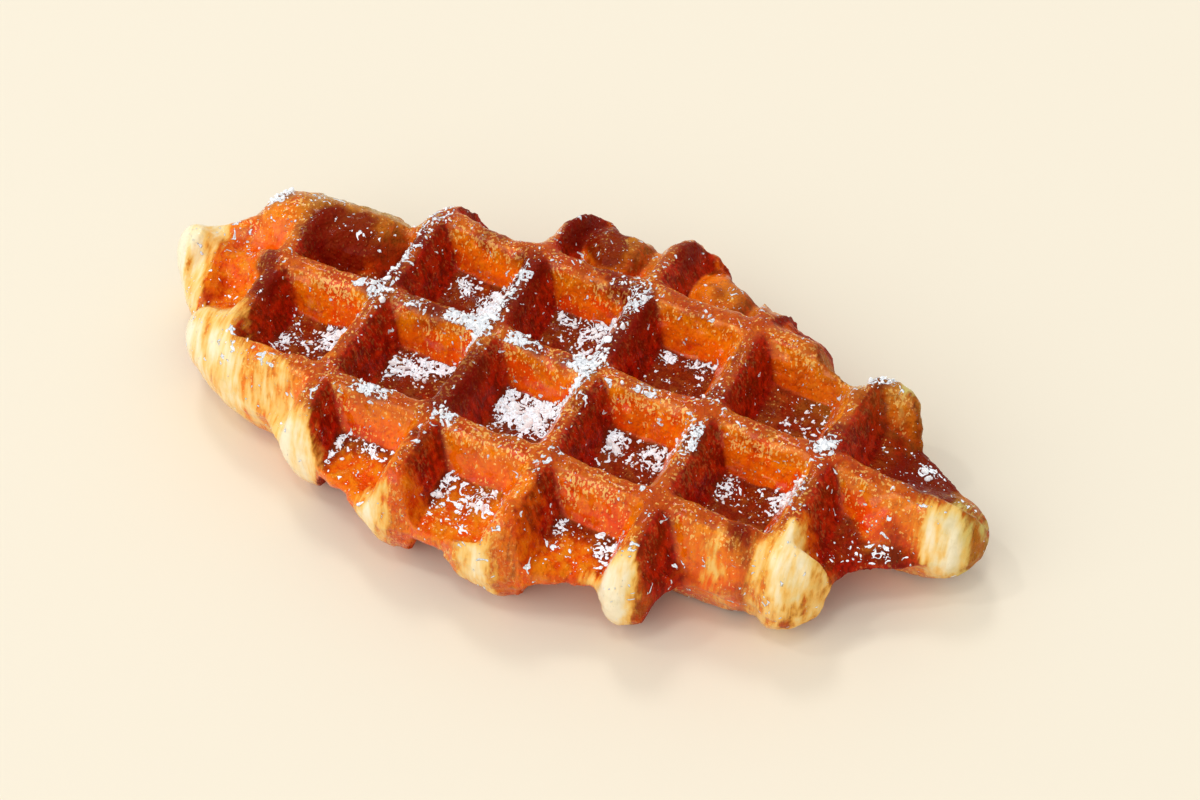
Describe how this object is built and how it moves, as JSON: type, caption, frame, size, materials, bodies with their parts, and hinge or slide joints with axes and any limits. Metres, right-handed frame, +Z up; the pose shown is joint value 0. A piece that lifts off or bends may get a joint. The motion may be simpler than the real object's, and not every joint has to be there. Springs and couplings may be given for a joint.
{
  "type": "croffle",
  "caption": "Croissant dough roll baked in a waffle iron, with deep square pockets, rounded pale ridge ends and a glossy caramelised crust dusted with icing sugar",
  "frame": {"origin": "middle of the object's box, on the surface that it rests on", "axes": "+X along the roll from its blunt end to its pointed tip, +Y across it to the side away from the camera in the picture, +Z up"},
  "size_m": [0.1658, 0.0832, 0.0244],
  "materials": {
    "baked_crust": "glossy caramelised crust, with pale dough at the ends of the ridges"
  },
  "bodies": {
    "root": {"croffle": "baked_crust"}
  },
  "joints": []
}
